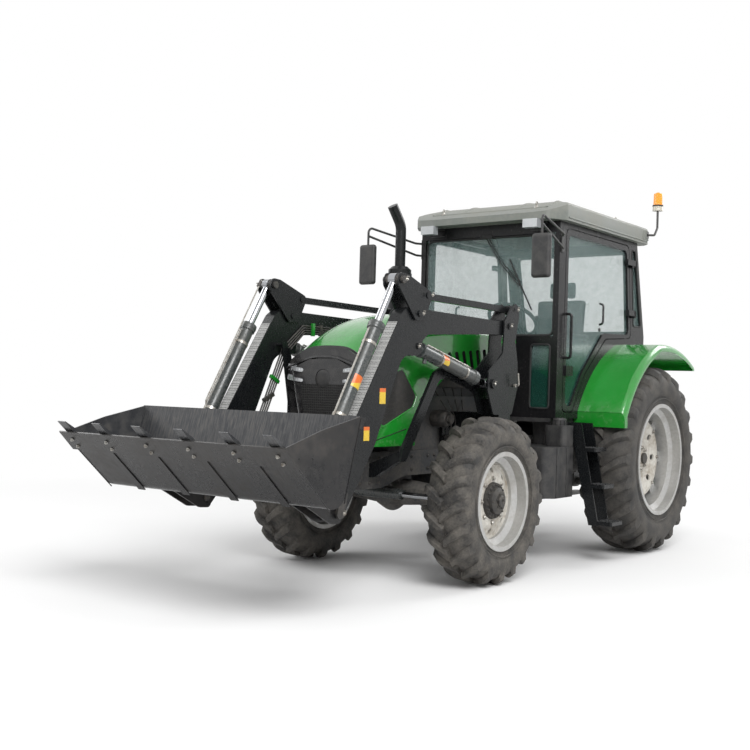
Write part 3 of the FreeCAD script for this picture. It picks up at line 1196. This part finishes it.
def hanger(y):
    """Hanger plate with both pin holes, welded to the back wall."""
    back = unit(BUCKET_HEEL, BUCKET_BACK)
    low = (BUCKET_HEEL[0] + back[0] * 95, BUCKET_HEEL[1] + back[1] * 95)
    high = (BUCKET_HEEL[0] + back[0] * 420, BUCKET_HEEL[1] + back[1] * 420)
    plate = side_plate([low, high, (BUCKET_EYE[0] - 46, BUCKET_EYE[1] + 52),
                        (BUCKET_PIVOT[0] - 66, BUCKET_PIVOT[1] + 20),
                        (BUCKET_PIVOT[0] - 30, BUCKET_PIVOT[1] - 66),
                        (BUCKET_PIVOT[0] + 60, BUCKET_PIVOT[1] - 60)], y, y + LEVER_T,
                       [0, 0, 60, 50, 30, 60])
    bore = rod((BUCKET_PIVOT[0], y - 5, BUCKET_PIVOT[1]),
               (BUCKET_PIVOT[0], y + LEVER_T + 5, BUCKET_PIVOT[1]), BIG_PIN_R + RUN)
    return plate.cut(bore)


def bucket_teeth():
    """Bolted teeth, evenly spaced on the inner face of the lip."""
    floor = unit(BUCKET_HEEL, BUCKET_LIP)
    _, up = bucket_normals()
    base = (BUCKET_LIP[0] + up[0] * BUCKET_T, BUCKET_LIP[1] + up[1] * BUCKET_T)
    back = (base[0] - floor[0] * 150, base[1] - floor[1] * 150)
    tip = (base[0] + floor[0] * TOOTH_REACH, base[1] + floor[1] * TOOTH_REACH)
    thick = (up[0] * TOOTH_T, up[1] * TOOTH_T)
    teeth = []
    pitch = (2 * EDGE_HALF - TOOTH_W - 30) / (TOOTH_COUNT - 1)
    for i in range(TOOTH_COUNT):
        y = -EDGE_HALF + 15 + i * pitch
        if i == 0:
            y += BUCKET_SIDE_T + 20
        if i == TOOTH_COUNT - 1:
            y -= BUCKET_SIDE_T + 20
        shank = side_plate([back, tip, shifted(tip, (thick[0] * 0.2, thick[1] * 0.2)),
                            shifted(base, thick), shifted(back, thick)], y, y + TOOTH_W, 0)
        teeth.append(shank)
    return Part.makeCompound(teeth)


# ---------------------------------------------------------------- rear linkage

def ball_end(point, y, bore, width):
    ring = cross_rod(point, y - width / 2, y + width / 2, bore + 16)
    return ring.cut(cross_rod(point, y - width, y + width, bore))


def lower_links():
    """Two lower links with ball ends, pivoting under the rear casting."""
    links = []
    for sign in (-1, 1):
        y = sign * LINK_Y
        eye = cross_rod(LINK_FOOT, y - 18, y + 18, 36)
        bar = side_plate([(LINK_FOOT[0], LINK_FOOT[1] - 24), (LINK_FOOT[0], LINK_FOOT[1] + 24),
                          (LINK_ROD_X, LINK_ROD_Z + 30), (LINK_END[0] + 20, LINK_END[1] + 22),
                          (LINK_END[0] + 20, LINK_END[1] - 22), (LINK_ROD_X, LINK_ROD_Z - 30)],
                         y - 12, y + 12, 0)
        bar = bar.cut(cross_rod(LINK_END, y - 30, y + 30, BALL_BORE_R + 2))
        bar = bar.fuse([ball_end(LINK_END, y, BALL_BORE_R, BALL_W), eye]).removeSplitter()
        links.append(bar.cut(cross_rod(LINK_FOOT, y - 30, y + 30, PIN_R + RUN)))
    return Part.makeCompound(links)


def lift_arm_tip():
    """x and z of the lift arms' ends, set so that arms and lower links stay parallel."""
    return shifted(LIFT_SHAFT, (LINK_ROD_X - LINK_FOOT[0], LINK_ROD_Z - LINK_FOOT[1]))


def hitch_rods():
    """Lift rods between the lift arms and the lower links."""
    rods = []
    low, high = (LINK_ROD_X, LINK_ROD_Z), lift_arm_tip()
    for sign in (-1, 1):
        y = sign * (LINK_Y + 36)
        ends = [V(p[0], y, p[1]) for p in (low, high)]
        sleeve = [ends[0] + (ends[1] - ends[0]) * share for share in (0.25, 0.78)]
        eyes = [cross_rod(p, y - 16, y + 16, 26) for p in (low, high)]
        foot = sign * (LINK_Y + 12 + RUN)
        stub = cross_rod(low, min(y, foot), max(y, foot), 12)
        rods.append(joined(rod(ends[0], ends[1], 14), rod(sleeve[0], sleeve[1], 22), *eyes, stub))
    return Part.makeCompound(rods)


def hitch_arms():
    """Lift arms on one cross shaft through the rear casting."""
    x, z = LIFT_SHAFT
    tip = lift_arm_tip()
    arms = []
    for sign in (-1, 1):
        y = sign * LINK_Y
        arm = side_plate([(x + 44, z - 46), (x + 44, z + 46), (tip[0] - 26, tip[1] + 26),
                          (tip[0] - 26, tip[1] - 26)], y - 14, y + 14, 24)
        foot = sign * (LINK_Y + 20 - RUN)
        arms += [arm, cross_rod(tip, min(y, foot), max(y, foot), 12)]
    shaft = cross_rod(LIFT_SHAFT, -LINK_Y, LINK_Y, LIFT_SHAFT_R)
    return joined(shaft, *arms)


def drawbar():
    """Swinging drawbar under the rear casting, with the lower links' pivot brackets."""
    bar = flat_plate([(300, -40), (300, 40), (-640, 40), (-640, -40)], 360, 360 + DRAWBAR_T,
                     [0, 0, 30, 30])
    bar = bar.cut(rod((-590, 0, 340), (-590, 0, 420), DRAWBAR_HOLE_R))
    hanger_plate = box(-220, -170, -110, 110, 392, CASTING_Z)
    front = box(220, 300, -60, 60, 392, CASTING_Z)
    pin = cross_rod(LINK_FOOT, BLOCK_HALF, LINK_Y + 24, PIN_R)
    lug = side_plate([(LINK_FOOT[0] - 50, 470), (LINK_FOOT[0] + 60, 470),
                      (LINK_FOOT[0] + 60, 590), (LINK_FOOT[0] - 50, 590)], BLOCK_HALF,
                     BLOCK_HALF + 22, 20)
    lug = joined(lug, pin)
    beam = joined(bar, hanger_plate, front)
    return Part.makeCompound([beam, lug, mirrored(lug)])


def top_link():
    """Top link on its bracket, stowed raised on a hook of the cab's rear wall."""
    foot, ball = (BACK_X - 70, 930.0), (BACK_X - 542, 1207.0)
    bracket = box(BACK_X - 96, BACK_X, -50, 50, 880, 980)
    bracket = bracket.cut(box(BACK_X - 100, BACK_X - 34, -29, 29, 870, 990))
    angle = math.degrees(math.atan2(ball[1] - foot[1], ball[0] - foot[0]))
    near = along(ball, angle, -TOP_BORE_R - 8)
    bar = rod((foot[0], 0, foot[1]), (near[0], 0, near[1]), 20)
    sleeve_start, sleeve_end = along(foot, angle, 120), along(foot, angle, 380)
    sleeve = rod((sleeve_start[0], 0, sleeve_start[1]), (sleeve_end[0], 0, sleeve_end[1]), 26)
    eye_low = cross_rod(foot, -28, 28, 28)
    pin = cross_rod(foot, -58, 58, 12)
    hook_z = foot[1] + (foot[0] - CAB_REAR_BOTTOM_X) * math.tan(math.radians(180 - angle))
    hook = box(CAB_REAR_BOTTOM_X - 30, CAB_REAR_BOTTOM_X, -6, 6, hook_z + 10, hook_z + 100)
    eye = ball_end(ball, 0, TOP_BORE_R, TOP_BALL_W)
    return joined(bracket, bar, sleeve, eye_low, pin, hook, eye)


# ---------------------------------------------------------------- export

def sided(name, shape):
    return {name + "_left": shape, name + "_right": mirrored(shape)}


def all_nodes():
    front, rear = (WHEELBASE, FRONT_TYRE_R), (0.0, REAR_TYRE_R)
    nodes = {
        "gearbox_housing": gearbox_housing(), "pto_shaft": pto_shaft(),
        "engine_block": engine_block(), "front_frame": front_frame(),
        "front_axle": front_axle(), "rear_axle": rear_axle(),
        "steering_cylinder": steering_cylinder(), "steering_rod": steering_rod(),
        "exhaust": exhaust(), "bonnet": bonnet(), "side_screens": side_screens(),
        "grille_mask": grille_mask(), "headlights": headlights(),
        "cab_floor": cab_floor(), "cab_frame": cab_frame(), "cab_roof": cab_roof(),
        "windscreen": windscreen(), "rear_window": rear_window(), "side_glass": side_glass(),
        "cab_lights": Part.makeCompound(cab_lights()), "seat": seat(), "console": console(),
        "mirrors": mirrors(), "fenders": both_sides(fender()), "fuel_tank": fuel_tank(),
        "battery_box": battery_box(), "steps": steps(), "loader_frame": loader_frame(),
        "loader_arms": loader_arms(), "knee_levers": knee_levers(),
        "lever_pins": lever_pins(), "link_bars": link_bars(), "lift_barrels": lift_barrels(),
        "lift_rods": lift_rods(), "tilt_rods": tilt_rods(), "tilt_barrels": tilt_barrels(),
        "bucket_pins": bucket_pins(), "loader_pipes": loader_pipes(),
        "safety_prop": safety_prop(), "bucket": bucket(), "bucket_teeth": bucket_teeth(),
        "lower_links": lower_links(), "hitch_rods": hitch_rods(), "hitch_arms": hitch_arms(),
        "drawbar": drawbar(), "top_link": top_link(),
    }
    nodes.update(sided("front_tyre", tyre(front, FRONT_TRACK, FRONT_TYRE_R, FRONT_TYRE_W,
                                          FRONT_RIM_R)))
    nodes.update(sided("rear_tyre", tyre(rear, REAR_TRACK, REAR_TYRE_R, REAR_TYRE_W, REAR_RIM_R)))
    nodes.update(sided("front_rim", front_wheel_rim()))
    nodes.update(sided("rear_rim", rear_wheel_rim()))
    nodes.update(sided("front_knuckle", front_knuckle()))
    nodes.update(sided("door", door()))
    nodes.update(sided("door_glass", door_glass()))
    return nodes


def export_all():
    nodes = all_nodes()
    front = max(shape.BoundBox.XMax for shape in nodes.values())
    back = min(shape.BoundBox.XMin for shape in nodes.values())
    centre = (front + back) / 2
    for name, shape in nodes.items():
        placed = shape.copy()
        placed.translate(V(-centre, 0, 0))
        placed.exportStep("parts/" + name + ".step")
        print(name, len(placed.Solids), round(placed.Volume / 1e6, 2), placed.isValid())
    print("overall", round(front - back, 1), "moved by", round(-centre, 2))


export_all()
